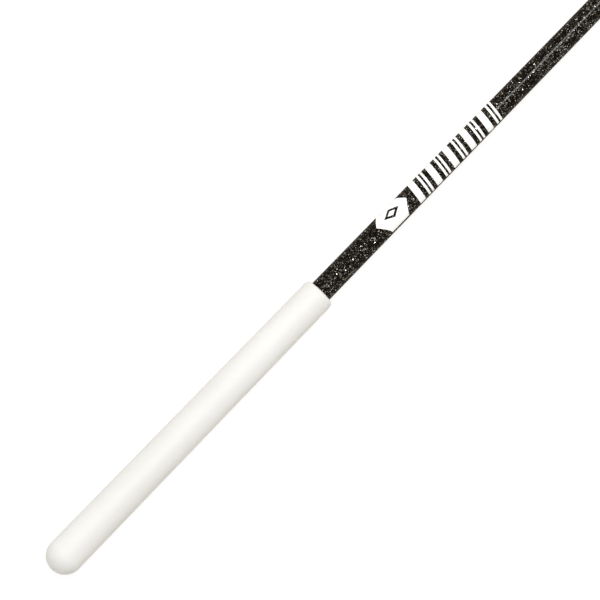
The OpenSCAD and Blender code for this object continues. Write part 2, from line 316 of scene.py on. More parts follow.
foil = foil_finish()
print(foil.name, "has", len(foil.node_tree.nodes), "nodes")

# %% [markdown]
# ### Silicone rubber
# The grip is moulded in white silicone. It is satin, very slightly uneven in tone, and its skin
# has the fine matt texture of the mould. Light goes a little way into it, so the edges look soft.

# %% The silicone's material
def silicone_finish():
    """Satin white rubber with the fine skin of its mould."""
    material, shader = finish(
        "white_silicone",
        Subsurface_Weight=0.12,
        Subsurface_Scale=0.8 * MM,
        Subsurface_Radius=(1.0, 0.85, 0.7),
        Specular_IOR_Level=0.35,
    )
    cloud = noise(material, scale=90.0, detail=4.0, stretch=(0.6, 1, 1))
    colour = ramp(material, cloud, [(0.3, (0.67, 0.666, 0.66)), (0.7, (0.7, 0.698, 0.695))])
    link(material, colour, shader.inputs["Base Color"])
    shine = ramp(material, cloud, [(0.3, 0.5), (0.7, 0.58)])
    link(material, shine, shader.inputs["Roughness"])
    skin = noise(material, scale=4500.0, detail=3.0)
    wave = noise(material, scale=260.0, detail=2.0, stretch=(0.35, 1, 1))
    rolled = bump(material, wave, distance=0.06 * MM, strength=0.5)
    grained = bump(material, skin, distance=0.012 * MM, strength=0.6, normal=rolled)
    link(material, grained, shader.inputs["Normal"])
    return material


silicone = silicone_finish()
print(silicone.name, "has", len(silicone.node_tree.nodes), "nodes")

# %% [markdown]
# ### Printed ink
# White ink is pressed on the lacquer with a pad. It is opaque and satin, its surface is a little
# uneven where the pad lifted, and here and there a flake shows through as a tiny dark pinhole.

# %% The ink's material
PINHOLE_SHARE, PINHOLE_SIZE = 0.05, 0.3
PINHOLE_COLOUR = (0.3, 0.3, 0.29, 1)


def ink_finish():
    """Opaque white ink with a few dark pinholes."""
    material, shader = finish("white_ink", Specular_IOR_Level=0.4)
    cells, chance = random_cells(material, 2300.0)
    rare = math_node(material, "LESS_THAN", chance["Red"], PINHOLE_SHARE)
    near = math_node(material, "LESS_THAN", cells["Distance"], PINHOLE_SIZE)
    pinhole = math_node(material, "MULTIPLY", rare, near)
    cloud = noise(material, scale=900.0, detail=3.0)
    white = ramp(material, cloud, [(0.3, (0.83, 0.83, 0.82)), (0.7, (0.9, 0.9, 0.895))])
    mixed = mix_colour(material, pinhole, white, PINHOLE_COLOUR)
    link(material, mixed, shader.inputs["Base Color"])
    link(material, ramp(material, cloud, [(0.3, 0.32), (0.7, 0.5)]), shader.inputs["Roughness"])
    uneven = bump(material, cloud, distance=0.01 * MM, strength=0.5)
    link(material, uneven, shader.inputs["Normal"])
    return material


ink = ink_finish()
print(ink.name, "has", len(ink.node_tree.nodes), "nodes")

# %% [markdown]
# ### Metals
# The ferrule, the barrel and the clasp are brass with a bright nickel plate: smooth, with faint
# hairline scratches and a slight waviness from rolling. The wires are drawn spring steel: duller,
# with fine lines along the wire. One function makes both, from noise that is stretched along X.

# %% The metals' materials
def metal_finish(name, colours, roughness, line_scale, line_depth):
    """Bare metal that varies between two colours and two roughnesses, with fine lines."""
    material, shader = finish(name, Metallic=1.0)
    cloud = noise(material, scale=700.0, detail=5.0)
    for socket, (low, high) in (("Base Color", colours), ("Roughness", roughness)):
        link(material, ramp(material, cloud, [(0.3, low), (0.7, high)]), shader.inputs[socket])
    lines = noise(material, scale=1.0, detail=4.0, stretch=line_scale)
    scratched = bump(material, lines, distance=line_depth, strength=0.5)
    link(material, scratched, shader.inputs["Normal"])
    return material


nickel = metal_finish(
    "nickel_plate",
    colours=((0.5, 0.485, 0.455), (0.62, 0.605, 0.575)),
    roughness=(0.14, 0.26),
    line_scale=(9000, 900, 900),
    line_depth=0.004 * MM,
)
spring_steel = metal_finish(
    "spring_steel",
    colours=((0.33, 0.325, 0.315), (0.45, 0.445, 0.43)),
    roughness=(0.26, 0.4),
    line_scale=(700, 9000, 9000),
    line_depth=0.006 * MM,
)
print(nickel.name, "and", spring_steel.name, "ready")

# %% [markdown]
# ### Glass fibre
# The rod inside is black pultruded glass fibre, whose fibres run along it. It only shows if the
# pieces are taken apart, so the CAD solid stays as it is and gets a finish with streaks along X.

# %% The glass fibre's material, on the CAD node
def fibre_finish():
    """Black resin with fibres along X."""
    material, shader = finish("black_glass_fibre", Roughness=0.5)
    streaks = noise(material, scale=1.0, detail=5.0, stretch=(60, 6000, 6000))
    tone = ramp(material, streaks, [(0.35, (0.008, 0.008, 0.007)), (0.7, (0.035, 0.034, 0.031))])
    link(material, tone, shader.inputs["Base Color"])
    ribbed = bump(material, streaks, distance=0.02 * MM, strength=0.5)
    link(material, ribbed, shader.inputs["Normal"])
    return material


fibre = fibre_finish()
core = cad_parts["rod_core"]
core.data.materials.clear()
core.data.materials.append(fibre)
print("rod_core has", core.data.materials[0].name)

# %% [markdown]
# ## How a piece is made
# Most pieces here are turned: they are the same all round the stick's axis. They could be cut from
# cylinders with booleans, but a lathe is simpler and cleaner. It takes the half outline as a list
# of (x, radius) points, spins it, and closes it to a point wherever the radius is 0.

# %% Helpers that make meshes
def arc(x, r, radius, start, stop, steps=8):
    """Points of an outline along an arc, by angle in degrees from +X towards larger radius."""
    turns = [math.radians(start + (stop - start) * i / steps) for i in range(steps + 1)]
    return [(x + radius * math.cos(t), r + radius * math.sin(t)) for t in turns]


def lathe(name, outline, material, steps=96, closed=False):
    """Spins an outline round X. A closed outline makes a tube, an open one ends in two poles."""
    shape = bmesh.new()
    rings = []
    for x, r in outline:
        if r <= 0:
            rings.append([shape.verts.new((x, 0, 0))])
            continue
        turns = [math.tau * i / steps for i in range(steps)]
        rings.append([shape.verts.new((x, r * math.cos(t), r * math.sin(t))) for t in turns])
    pairs = list(zip(rings, rings[1:])) + ([(rings[-1], rings[0])] if closed else [])
    for near, far in pairs:
        for i in range(steps):
            j = (i + 1) % steps
            a, b = len(near), len(far)
            corners = (near[i % a], near[j % a], far[j % b], far[i % b])
            shape.faces.new(list(dict.fromkeys(corners)))
    bmesh.ops.recalc_face_normals(shape, faces=shape.faces[:])
    mesh = bpy.data.meshes.new(name)
    shape.to_mesh(mesh)
    shape.free()
    smooth(mesh, 40)
    mesh.materials.append(material)
    return mesh


def smooth(mesh, angle):
    """Smooth shading, with edges sharper than angle, in degrees, kept crisp."""
    mesh.shade_smooth()
    mesh.set_sharp_from_angle(angle=math.radians(angle))


def together(name, meshes):
    """Several meshes with one material as one mesh."""
    shape = bmesh.new()
    for mesh in meshes:
        shape.from_mesh(mesh)
    joined = bpy.data.meshes.new(name)
    shape.to_mesh(joined)
    shape.free()
    joined.materials.append(meshes[0].materials[0])
    return joined


def place_piece(name, mesh, body, slot, *replaced):
    """Puts a finished mesh in the scene, on its body, in place of its CAD nodes."""
    piece = bpy.data.objects.new(name, mesh)
    scene.collection.objects.link(piece)
    if replaced:
        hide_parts(*replaced)
    if body:
        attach(piece, body)
    triangles = sum(len(p.vertices) - 2 for p in mesh.polygons)
    print(f"{name}: {triangles} triangles on {body}")
    return piece


# %% [markdown]
# Other pieces follow a rule: a taper, a row, a wire along a path, flakes on a surface. Geometry
# Nodes make those. The helpers below build a tree in code. Each tree has named inputs for its
# sizes, ends in Realize Instances and Set Material, and its result is turned into a plain mesh.

# %% Helpers for Geometry Nodes
def start_tree(name, inputs):
    """An empty tree with a geometry in and out and named inputs. Returns it and its inputs."""
    tree = bpy.data.node_groups.new(name, "GeometryNodeTree")
    tree.interface.new_socket("Geometry", in_out="INPUT", socket_type="NodeSocketGeometry")
    for label, value in inputs.items():
        kind = "NodeSocketInt" if isinstance(value, int) else "NodeSocketFloat"
        socket = tree.interface.new_socket(label, in_out="INPUT", socket_type=kind)
        socket.default_value = value
    tree.interface.new_socket("Geometry", in_out="OUTPUT", socket_type="NodeSocketGeometry")
    given = tree.nodes.new("NodeGroupInput")
    return tree, given.outputs


def step(tree, kind, inputs=(), **settings):
    """A node in a tree. Inputs are (socket, value or output) pairs, or a list of outputs."""
    made = tree.nodes.new(kind)
    for key, value in settings.items():
        setattr(made, key, value)
    for socket, value in inputs:
        for one in value if isinstance(value, list) else [value]:
            if isinstance(one, bpy.types.NodeSocket):
                tree.links.new(one, made.inputs[socket])
            else:
                made.inputs[socket].default_value = one
    return made


def sum_of(tree, operation, a, b=0.0):
    """One step of arithmetic on numbers or fields."""
    return step(tree, "ShaderNodeMath", [(0, a), (1, b)], operation=operation).outputs[0]


def along_x(tree, x):
    """A vector along X."""
    return step(tree, "ShaderNodeCombineXYZ", [("X", x)]).outputs[0]


def unit_circle(tree, sides):
    """A circle of radius 1, to sweep along a curve."""
    inputs = [("Resolution", sides), ("Radius", 1.0)]
    return step(tree, "GeometryNodeCurvePrimitiveCircle", inputs).outputs[0]


def random_number(tree, low, high, seed):
    """A random number of its own for each point or instance."""
    inputs = [(2, low), (3, high), ("Seed", seed)]
    return step(tree, "FunctionNodeRandomValue", inputs).outputs[1]


def store(tree, geometry, name, value, kind):
    """Writes a value on each instance, under a name that a material can read."""
    inputs = [("Geometry", geometry), ("Name", name), ("Value", value)]
    made = step(tree, "GeometryNodeStoreNamedAttribute", inputs, data_type=kind, domain="INSTANCE")
    return made.outputs[0]


def join(tree, parts):
    """Several geometries as one."""
    return step(tree, "GeometryNodeJoinGeometry", [("Geometry", parts)]).outputs[0]


def end_tree(tree, geometry, material):
    """Realize Instances, Set Material, and out."""
    real = step(tree, "GeometryNodeRealizeInstances", [("Geometry", geometry)])
    inputs = [("Geometry", real.outputs[0]), ("Material", material)]
    painted = step(tree, "GeometryNodeSetMaterial", inputs)
    step(tree, "NodeGroupOutput", [("Geometry", painted.outputs[0])])
    print(f"tree {tree.name}: {len(tree.nodes)} nodes")
    return tree


def grow(name, tree, values, start=None, wall=None):
    """Runs a tree on a start mesh and returns the result as a plain mesh. Wall adds thickness."""
    seed = bpy.data.objects.new(name, start or bpy.data.meshes.new(name))
    scene.collection.objects.link(seed)
    modifier = seed.modifiers.new("grow", "NODES")
    modifier.node_group = tree
    sockets = {s.name: s.identifier for s in tree.interface.items_tree if s.in_out == "INPUT"}
    for label, value in values.items():
        modifier[sockets[label]] = value
    if wall:
        shell = seed.modifiers.new("wall", "SOLIDIFY")
        shell.thickness = wall
        shell.offset = -1
        shell.use_even_offset = True
    seen = bpy.context.evaluated_depsgraph_get()
    mesh = bpy.data.meshes.new_from_object(
        seed.evaluated_get(seen), preserve_all_data_layers=True, depsgraph=seen
    )
    mesh.name = name
    bpy.data.objects.remove(seed)
    return mesh


print("geometry helpers ready")

# %% [markdown]
# ## The lacquered shaft
# The rod is ground to an even taper, from 6.75 mm at the butt to 3.7 mm at the tip, and the
# lacquer follows it. Its shape is a rule, so a tree makes it: a straight line, resampled into
# rings, becomes a tube whose radius runs evenly from one end to the other. A thin wall is added,
# because the lacquer is a coat over the glass fibre, which is a piece of its own.

# %% Tree: a tapered tube
TAPER = {"Start": 0.0, "End": 0.5, "Butt Radius": 0.003, "Tip Radius": 0.002}


def shaft_tree():
    """A tube whose radius runs evenly from the butt to the tip."""
    tree, given = start_tree("tapered_shaft", {**TAPER, "Rings": 90, "Sides": 72})
    span = [("Start", along_x(tree, given["Start"])), ("End", along_x(tree, given["End"]))]
    line = step(tree, "GeometryNodeCurvePrimitiveLine", span)
    rings = step(
        tree, "GeometryNodeResampleCurve", [("Curve", line.outputs[0]), ("Count", given["Rings"])]
    )
    along = step(tree, "GeometryNodeSplineParameter").outputs["Factor"]
    radius = step(
        tree,
        "ShaderNodeMapRange",
        [("Value", along), ("To Min", given["Butt Radius"]), ("To Max", given["Tip Radius"])],
    ).outputs["Result"]
    circle = unit_circle(tree, given["Sides"])
    sweep = [("Curve", rings.outputs[0]), ("Profile Curve", circle), ("Scale", radius)]
    tube = step(tree, "GeometryNodeCurveToMesh", sweep)
    return end_tree(tree, tube.outputs[0], glitter)


tapered_shaft = shaft_tree()

# %% Make the lacquered shaft
LACQUER_WALL = 0.09 * MM
shaft_sizes = dict(zip(TAPER, (shaft_start, shaft_end, shaft_butt_r, shaft_tip_r)))
shaft_skin = grow("shaft_skin", tapered_shaft, shaft_sizes)
shaft_mesh = grow("lacquered_shaft", tapered_shaft, shaft_sizes, wall=LACQUER_WALL)
smooth(shaft_mesh, 40)
place_piece("lacquered_shaft", shaft_mesh, "stick", "glitter", "glitter_lacquer")

# %% [markdown]
# ## The larger flakes
# The flakes that show one by one are foil hexagons. A tree scatters points on the shaft between
# the grip and the ferrule, puts a hexagon on each, turns and tips it a little at random, gives it
# a random size, and stores the random number that the foil's finish reads. The seed is fixed.

# %% Tree: flakes on a surface
def flake_tree():
    """Tipped hexagons at random places on a surface, each with random numbers for its finish."""
    tree, given = start_tree(
        "foil_flakes",
        {
            "Per Square Metre": 1.0e6,
            "From": 0.05,
            "To": 0.49,
            "Smallest": 0.0001,
            "Largest": 0.0003,
            "Tip In Radians": 0.1,
            "Seed": 1,
        },
    )
    spot = step(tree, "GeometryNodeInputPosition").outputs[0]
    along = step(tree, "ShaderNodeSeparateXYZ", [("Vector", spot)]).outputs["X"]
    past_grip = sum_of(tree, "GREATER_THAN", along, given["From"])
    before_tip = sum_of(tree, "LESS_THAN", along, given["To"])
    points = step(
        tree,
        "GeometryNodeDistributePointsOnFaces",
        [
            ("Mesh", given["Geometry"]),
            ("Density", given["Per Square Metre"]),
            ("Seed", given["Seed"]),
        ],
    )
    outside = sum_of(tree, "SUBTRACT", 1.0, sum_of(tree, "MULTIPLY", past_grip, before_tip))
    removed = [("Geometry", points.outputs["Points"]), ("Selection", outside)]
    bare = step(tree, "GeometryNodeDeleteGeometry", removed, domain="POINT")
    most_tip = given["Tip In Radians"]
    least_tip = sum_of(tree, "MULTIPLY", most_tip, -1.0)
    tip_x, tip_y = [random_number(tree, least_tip, most_tip, seed) for seed in (1, 2)]
    spin = random_number(tree, 0.0, math.tau, 3)
    turn = step(tree, "ShaderNodeCombineXYZ", [("X", tip_x), ("Y", tip_y), ("Z", spin)])
    turned = step(
        tree,
        "FunctionNodeRotateRotation",
        [("Rotation", points.outputs["Rotation"]), ("Rotate By", turn.outputs[0])],
        rotation_space="LOCAL",
    )
    size = random_number(tree, given["Smallest"], given["Largest"], 4)
    hexagon = step(
        tree, "GeometryNodeMeshCircle", [("Vertices", 6), ("Radius", 1.0)], fill_type="NGON"
    )
    flakes = step(
        tree,
        "GeometryNodeInstanceOnPoints",
        [
            ("Points", bare.outputs[0]),
            ("Instance", hexagon.outputs[0]),
            ("Rotation", turned.outputs[0]),
            ("Scale", size),
        ],
    )
    # Each flake's random number, which the foil's finish turns into its tint and its painted glint.
    tone = random_number(tree, 0.0, 1.0, 5)
    marked = store(tree, flakes.outputs[0], "flake_tone", tone, "FLOAT")
    lean = step(
        tree,
        "FunctionNodeRandomValue",
        [(0, (-1.0, -1.0, -1.0)), (1, (1.0, 1.0, 1.0)), ("Seed", 6)],
        data_type="FLOAT_VECTOR",
    )
    leaning = store(tree, marked, "flake_lean", lean.outputs[0], "FLOAT_VECTOR")
    return end_tree(tree, leaning, foil)


scattered_flakes = flake_tree()

# %% Scatter the flakes
BARE_EDGE = 0.3 * MM
ferrule_start, ferrule_end = ends("tip_ferrule")
flake_mesh = grow(
    "foil_flakes",
    scattered_flakes,
    {
        "Per Square Metre": 3.0e6,
        "From": grip_end + BARE_EDGE,
        "To": ferrule_start - BARE_EDGE,
        "Smallest": 0.1 * MM,
        "Largest": 0.21 * MM,
        "Tip In Radians": 0.12,
        "Seed": 7,
    },
    start=shaft_skin,
)
place_piece("foil_flakes", flake_mesh, "stick", "glitter")

# %% [markdown]
# ## The printed band
# The maker's print is replaced by a plain pattern: a panel with a lozenge left open in it, and a
# row of leaning bars, every second one slit. It is drawn flat first, with X along the stick and Y
# as the angle round it. The panel is a small mesh, made one face at a time. The tree adds the bars,
# which repeat, leans them, and then bends everything round the tapered rod. A thin wall gives the
# ink its thickness.

# %% Draw the panel flat
print_start, print_end = ends("printed_mark")
PANEL = 11.1 * MM
PANEL_POINT = 2.4 * MM
OPENING_LENGTH = 5.4 * MM
OPENING_HEIGHT = 2.8 * MM
SEED_SHARE = 0.5
INK = 0.04 * MM
PRINT_TURN = math.radians(14)
PRINT_REACH = math.radians(84)
PANEL_SHARE = 0.98
SIDE_STEPS = 14
PANEL_ROWS = 6
panel_middle = print_start + PANEL / 2
panel_reach = math.asin(PANEL_SHARE)


def on_panel(share):
    """A quarter of the panel's edge: from a point, past a shoulder, to the middle of a side."""
    if share < 0.5:
        angle = panel_reach * 2 * share
        return PANEL / 2 - PANEL_POINT * math.sin(angle) / math.sin(panel_reach), angle
    return (PANEL / 2 - PANEL_POINT) * 2 * (1 - share), panel_reach


def on_lozenge(share, scale=1.0):
    """A quarter of the opening's edge, or of a smaller lozenge inside it."""
    height = OPENING_HEIGHT / 2 * share * scale
    return OPENING_LENGTH / 2 * (1 - share) * scale, math.asin(height / shaft_r(panel_middle))


def panel_mesh():
    """The panel with its open lozenge and a smaller solid lozenge inside."""
    shape = bmesh.new()
    quarters = [(-1, -1), (1, -1), (1, 1), (-1, 1)]

    def ring(mix, scale=1.0):
        """A closed row of points, from the panel's edge (mix 0) to the opening's (mix 1)."""
        row = []
        for k in range(4 * SIDE_STEPS):
            quarter, part = divmod(k, SIDE_STEPS)
            share = part / SIDE_STEPS if quarter % 2 == 0 else 1 - part / SIDE_STEPS
            (ax, ay), (bx, by) = on_panel(share), on_lozenge(share, scale)
            x = quarters[quarter][0] * (ax + (bx - ax) * mix)
            angle = quarters[quarter][1] * (ay + (by - ay) * mix)
            row.append(shape.verts.new((panel_middle + x, angle, 0)))
        return row

    def band(rows):
        """Faces between closed rows of points."""
        for outer, inner in zip(rows, rows[1:]):
            for k in range(4 * SIDE_STEPS):
                m = (k + 1) % (4 * SIDE_STEPS)
                shape.faces.new((outer[k], outer[m], inner[m], inner[k]))

    band([ring(i / PANEL_ROWS) for i in range(PANEL_ROWS + 1)])
    seed_rows = [ring(1, SEED_SHARE * share) for share in (1, 0.66, 0.33)]
    band(seed_rows)
    shape.faces.new(seed_rows[-1])
    mesh = bpy.data.meshes.new("panel")
    shape.to_mesh(mesh)
    shape.free()
    return mesh


panel = panel_mesh()
print(f"print from {print_start / MM:.1f} to {print_end / MM:.1f} mm")
print("panel drawn flat:", len(panel.polygons), "faces")

# %% Tree: a row of bars, bent round the rod
def print_tree():
    """A row of bars beside a flat panel, all bent round the tapered rod."""
    tree, given = start_tree(
        "printed_band",
        {
            "First Bar": 0.08,
            "Bars": 10,
            "Pitch": 0.004,
            "Bar Width": 0.002,
            "Slit": 0.0007,
            "Lean In Radians": 0.2,
            "Reach": 1.5,
            "Turn": 0.2,
            **TAPER,
            "Lift": 0.00004,
        },
    )
    first, pitch = along_x(tree, given["First Bar"]), along_x(tree, given["Pitch"])
    line = [("Count", given["Bars"]), ("Start Location", first), ("Offset", pitch)]
    row = step(tree, "GeometryNodeMeshLine", line).outputs[0]
    across = sum_of(tree, "MULTIPLY", given["Reach"], 2.0)

    def strip(width):
        """A bar of one width, cut finely enough to bend round the rod."""
        grid = [("Size X", width), ("Size Y", across), ("Vertices X", 5), ("Vertices Y", 49)]
        return step(tree, "GeometryNodeMeshGrid", grid).outputs["Mesh"]

    width, slit = given["Bar Width"], given["Slit"]
    half = sum_of(tree, "MULTIPLY", sum_of(tree, "SUBTRACT", width, slit), 0.5)
    shift = sum_of(tree, "MULTIPLY", sum_of(tree, "ADD", width, slit), 0.25)
    halves = []
    for side in (1.0, -1.0):
        move = along_x(tree, sum_of(tree, "MULTIPLY", shift, side))
        inputs = [("Geometry", strip(half)), ("Translation", move)]
        halves.append(step(tree, "GeometryNodeTransform", inputs).outputs[0])
    slit_bar = join(tree, halves)
    index = step(tree, "GeometryNodeInputIndex").outputs[0]
    odd = sum_of(tree, "MODULO", index, 2.0)
    even = sum_of(tree, "SUBTRACT", 1.0, odd)
    bars = []
    for chosen, bar in ((even, strip(width)), (odd, slit_bar)):
        inputs = [("Points", row), ("Selection", chosen), ("Instance", bar)]
        bars.append(step(tree, "GeometryNodeInstanceOnPoints", inputs).outputs[0])
    flat = step(tree, "GeometryNodeRealizeInstances", [("Geometry", join(tree, bars))]).outputs[0]

    spot = step(tree, "GeometryNodeInputPosition").outputs[0]
    parts = step(tree, "ShaderNodeSeparateXYZ", [("Vector", spot)]).outputs
    radius = step(
        tree,
        "ShaderNodeMapRange",
        [
            ("Value", parts["X"]),
            ("From Min", given["Start"]),
            ("From Max", given["End"]),
            ("To Min", given["Butt Radius"]),
            ("To Max", given["Tip Radius"]),
        ],
    ).outputs["Result"]
    height = sum_of(tree, "MULTIPLY", radius, sum_of(tree, "SINE", parts["Y"]))
    lean = sum_of(tree, "MULTIPLY", height, sum_of(tree, "TANGENT", given["Lean In Radians"]))
    moved = [("Geometry", flat), ("Offset", along_x(tree, lean))]
    leaning = step(tree, "GeometryNodeSetPosition", moved).outputs[0]
    whole = join(tree, [leaning, given["Geometry"]])
    lifted = sum_of(tree, "ADD", radius, given["Lift"])
    turn = sum_of(tree, "ADD", parts["Y"], given["Turn"])
    bent = step(
        tree,
        "ShaderNodeCombineXYZ",
        [
            ("X", parts["X"]),
            ("Y", sum_of(tree, "MULTIPLY", lifted, sum_of(tree, "SINE", turn))),
            ("Z", sum_of(tree, "MULTIPLY", lifted, sum_of(tree, "COSINE", turn))),
        ],
    ).outputs[0]
    wrapped = step(tree, "GeometryNodeSetPosition", [("Geometry", whole), ("Position", bent)])
    return end_tree(tree, wrapped.outputs[0], ink)


bent_print = print_tree()

# %% Print the band
BAR_WIDTH = 1.9 * MM
BAND_GAP = 2.3 * MM
INK_WALL = INK * 1.5
print_mesh = grow(
    "printed_band",
    bent_print,
    {
        **shaft_sizes,
        "First Bar": print_start + PANEL + BAND_GAP + BAR_WIDTH / 2,
        "Bars": 10,
        "Pitch": 3.2 * MM,
        "Bar Width": BAR_WIDTH,
        "Slit": 0.6 * MM,
        "Lean In Radians": math.radians(9),
        "Reach": PRINT_REACH,
        "Turn": PRINT_TURN,
        "Lift": INK,
    },
    start=panel,
    wall=INK_WALL,
)
smooth(print_mesh, 40)
place_piece("printed_band", print_mesh, "stick", "white_ink", "printed_mark")

# %% [markdown]
# ## The grip
# The grip is a moulded sleeve, closed by a round end at the butt, and its mouth has a rounded lip
# that sits tight on the rod. It is turned, so the lathe makes it: the outline runs from the pole
# of the round end along the taper, round the lip, and back down the bore to the rod's end.

# %% Turn the grip
LIP_R = 1.2 * MM
ROUND_END = 4.9 * MM
BORE_PAST_SHAFT = 0.33 * MM
BORE_EDGE = 0.12 * MM
FIT = 0.03 * MM
TAPER_STEPS, BORE_STEPS = 40, 30
grip_butt_r = radius_near("grip_sleeve", grip_start + ROUND_END)
grip_mouth_r = radius_near("grip_sleeve", grip_end - LIP_R)
bore_end = shaft_start - BORE_PAST_SHAFT


def sleeve_r(x):
    """The bore's radius, just clear of the lacquer."""
    return shaft_r(x) + FIT


grip_outline = [(grip_start, 0)]
grip_outline += arc(grip_start + grip_butt_r, 0, grip_butt_r, 180, 90, 28)[1:]
taper_start, taper_end = grip_start + grip_butt_r, grip_end - LIP_R
for i in range(1, TAPER_STEPS + 1):
    share = i / TAPER_STEPS
    x = taper_start + (taper_end - taper_start) * share
    grip_outline.append((x, grip_butt_r + (grip_mouth_r - grip_butt_r) * share))
grip_outline += arc(grip_end - LIP_R, grip_mouth_r - LIP_R, LIP_R, 90, 0, 12)[1:]
edge_start = grip_end - BORE_EDGE
grip_outline += arc(edge_start, sleeve_r(grip_end) + BORE_EDGE, BORE_EDGE, 0, -90, 4)
for i in range(1, BORE_STEPS + 1):
    x = edge_start + (bore_end - grip_end) * i / BORE_STEPS
    grip_outline.append((x, sleeve_r(x)))
grip_outline.append((bore_end, 0))
grip_mesh = lathe("silicone_grip", grip_outline, silicone, steps=128)
place_piece("silicone_grip", grip_mesh, "stick", "silicone", "grip_sleeve")

# %% [markdown]
# ## The ferrule
# A drawn brass cap closes the rod's tip. Its mouth is rolled back into a bead, two rings are
# crimped into the rod, and its nose is rounded, with a hole for the eye pin's shank.

# %% Turn the ferrule
BEAD_R = 0.3 * MM
CRIMP_R = 0.5 * MM
NOSE_R = 0.7 * MM
FERRULE_WALL = 0.5 * MM
NOSE_WALL = 0.97 * MM
PIN_HOLE_R = 0.58 * MM
HOLE_EDGE = 0.12 * MM
MOUTH_EDGE = 0.1 * MM
CRIMP_RISE = 0.35 * MM
CRIMPS = (3 * MM, 4.6 * MM)
ferrule_bore = shaft_r(ferrule_start) + FIT
ferrule_r = ferrule_bore + FERRULE_WALL
nose_wall = ferrule_end - NOSE_WALL
print(f"ferrule bore {ferrule_bore / MM:.4f} mm")

ferrule_outline = [(ferrule_start + MOUTH_EDGE, ferrule_bore)]
ferrule_outline += arc(
    ferrule_start + BEAD_R, ferrule_r - BEAD_R / 2, BEAD_R, 200, 30, 14
)
for crimp in CRIMPS:
    ferrule_outline += arc(ferrule_start + crimp, ferrule_r + CRIMP_RISE, CRIMP_R, -134, -46, 10)
ferrule_outline += arc(ferrule_end - NOSE_R, ferrule_r - NOSE_R, NOSE_R, 90, 0, 10)
ferrule_outline += [
    (ferrule_end, PIN_HOLE_R + HOLE_EDGE),
    (ferrule_end - HOLE_EDGE, PIN_HOLE_R),
    (nose_wall, PIN_HOLE_R),
    (nose_wall, ferrule_bore),
]
ferrule_mesh = lathe("tip_cap", ferrule_outline, nickel, steps=96, closed=True)
place_piece("tip_cap", ferrule_mesh, "stick", "nickel_brass", "tip_ferrule")

# %% [markdown]
# ## Wires
# The eye pin, the swivel's two eyes and the snap are all bent wire. A tube that follows a path is
# one rule for all of them, so one tree makes them: it takes a line of points, turns it into a
# curve and sweeps a circle along it. An attribute on the points, called swell, makes the wire's
# ends round off, as they are tumbled smooth on the real pieces.

# %% Tree: a wire along a path
def wire_tree():
    """A circle swept along a line of points."""
    tree, given = start_tree("bent_wire", {"Wire Radius": 0.0005, "Sides": 20})
    path = step(tree, "GeometryNodeMeshToCurve", [("Mesh", given["Geometry"])]).outputs[0]
    swell = step(
        tree, "GeometryNodeInputNamedAttribute", [("Name", "swell")], data_type="FLOAT"
    ).outputs[0]
    radius = sum_of(tree, "MULTIPLY", swell, given["Wire Radius"])
    circle = unit_circle(tree, given["Sides"])
    sweep = [("Curve", path), ("Profile Curve", circle), ("Scale", radius), ("Fill Caps", True)]
    tube = step(tree, "GeometryNodeCurveToMesh", sweep)
    return end_tree(tree, tube.outputs[0], spring_steel)


bent_wire = wire_tree()
END_STEPS, END_START = 6, 4


def wire(name, points, radius, ring=False):
    """A wire along points. A ring has no ends, and any other wire has two round ones."""
    points = [Vector(p) for p in points]
    swell = [1.0] * len(points)
    if not ring:
        for _ in range(2):
            head, toward = points[0], (points[1] - points[0]).normalized()
            tip, tip_swell = [], []
            for i in range(END_STEPS):
                lean = math.radians(END_START + (90 - END_START) * i / END_STEPS)
                tip.append(head + toward * radius * (1 - math.cos(lean)))
                tip_swell.append(math.sin(lean))
            points = tip + [head + toward * radius] + points[1:]
            swell = tip_swell + swell
            points.reverse()
            swell.reverse()
    mesh = bpy.data.meshes.new(name)
    count = len(points)
    edges = [(i, (i + 1) % count) for i in range(count if ring else count - 1)]
    mesh.from_pydata(points, edges, [])
    mesh.attributes.new("swell", "FLOAT", "POINT").data.foreach_set("value", swell)
    made = grow(name, bent_wire, {"Wire Radius": radius}, start=mesh)
    smooth(made, 60)
    return made


def bend(x, y, radius, start, stop, steps=16):
    """Points along a bend in the XY plane, by angle in degrees."""
    turns = [math.radians(start + (stop - start) * i / steps) for i in range(steps + 1)]
    return [(x + radius * math.cos(t), y + radius * math.sin(t), 0) for t in turns]


def upright(points):
    """The same points turned from the XY plane to the XZ plane."""
    return [(x, z, y) for x, y, z in points]


print("wire tree ready")

# %% [markdown]
# ## The eye pin
# A wire eye holds the whole swivel. Its shank is glued in the rod's end and comes out through the
# ferrule's nose. A ring and a turned shank with a small fillet make it.

# %% Make the eye pin
PIN_R = 0.55 * MM
EYE_RING = 1.9 * MM
FLARE = 0.28
FLARE_STEPS = 8
BUTTON_EDGE = 0.15 * MM
SHANK_EDGE = 0.2 * MM
pin_start, pin_end = ends("tip_eye_pin")
pin_eye = pin_end - EYE_RING - PIN_R


def shank(name, ring_x, stop, radius, head=None):
    """A round shank from a ring's wire to stop, flared where it meets the ring."""
    way = 1 if stop > ring_x else -1
    root = ring_x + way * EYE_RING
    outline = [(root - way * radius * 0.6, 0)]
    for i in range(FLARE_STEPS + 1):
        lean = math.radians(90 * i / FLARE_STEPS)
        x = root + way * radius * (-0.3 + 1.5 * math.sin(lean))
        outline.append((x, radius * (1 + FLARE - FLARE * math.sin(lean))))
    if head:
        head_r, head_start = head
        edge = BUTTON_EDGE
        outline += [(head_start, radius), (head_start, head_r - edge)]
        outline += [(head_start + way * edge, head_r), (stop - way * edge, head_r)]
        outline += [(stop, head_r - edge), (stop, 0)]
    else:
        outline += [(stop - way * SHANK_EDGE, radius), (stop, radius - SHANK_EDGE), (stop, 0)]
    return lathe(name, outline, spring_steel, steps=32)


def circle_path(x, radius, steps=56):
    """Points round a circle in the XY plane."""
    return bend(x, 0, radius, 0, 360, steps)[:-1]


